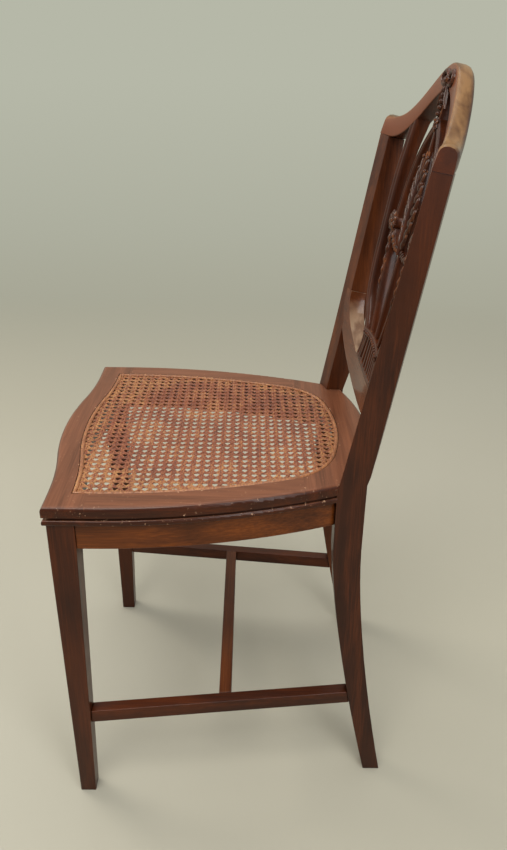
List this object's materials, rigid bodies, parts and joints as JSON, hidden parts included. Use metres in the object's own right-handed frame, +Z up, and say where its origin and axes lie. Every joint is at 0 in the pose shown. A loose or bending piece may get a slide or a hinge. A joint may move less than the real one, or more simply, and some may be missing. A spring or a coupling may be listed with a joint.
{
  "type": "shield back chair",
  "caption": "Side chair with a bowed shield back, a pierced carved splat, a caned seat on a moulded serpentine frame, tapered legs and plain stretchers.",
  "frame": {"origin": "on the floor, in the middle of the chair's bounding box", "axes": "+Z up, the chair faces -Y, and +X is the sitter's left"},
  "size_m": [0.402, 0.4722, 0.8844],
  "materials": {
    "mahogany": "satin",
    "secondary_wood": "matte",
    "cane": "satin",
    "cane_binding": "satin",
    "screw_steel": "dull"
  },
  "bodies": {
    "root": {"rear_post_left": "mahogany", "rear_post_right": "mahogany", "front_leg_left": "mahogany", "front_leg_right": "mahogany", "front_rail": "mahogany", "side_rail_left": "mahogany", "side_rail_right": "mahogany", "rear_rail": "mahogany", "side_stretcher_left": "mahogany", "side_stretcher_right": "mahogany", "cross_stretcher": "mahogany", "seat_frame_front": "mahogany", "seat_frame_side_left": "mahogany", "seat_frame_side_right": "mahogany", "seat_frame_rear": "mahogany", "crest_rail": "mahogany", "shield_base": "mahogany", "splat": "mahogany", "front_corner_block_left": "secondary_wood", "front_corner_block_right": "secondary_wood", "rear_corner_block_left": "secondary_wood", "rear_corner_block_right": "secondary_wood", "seat_frame_dowels": "secondary_wood", "cane_panel": "cane", "cane_spline": "cane_binding", "seat_screws": "screw_steel"}
  },
  "joints": []
}
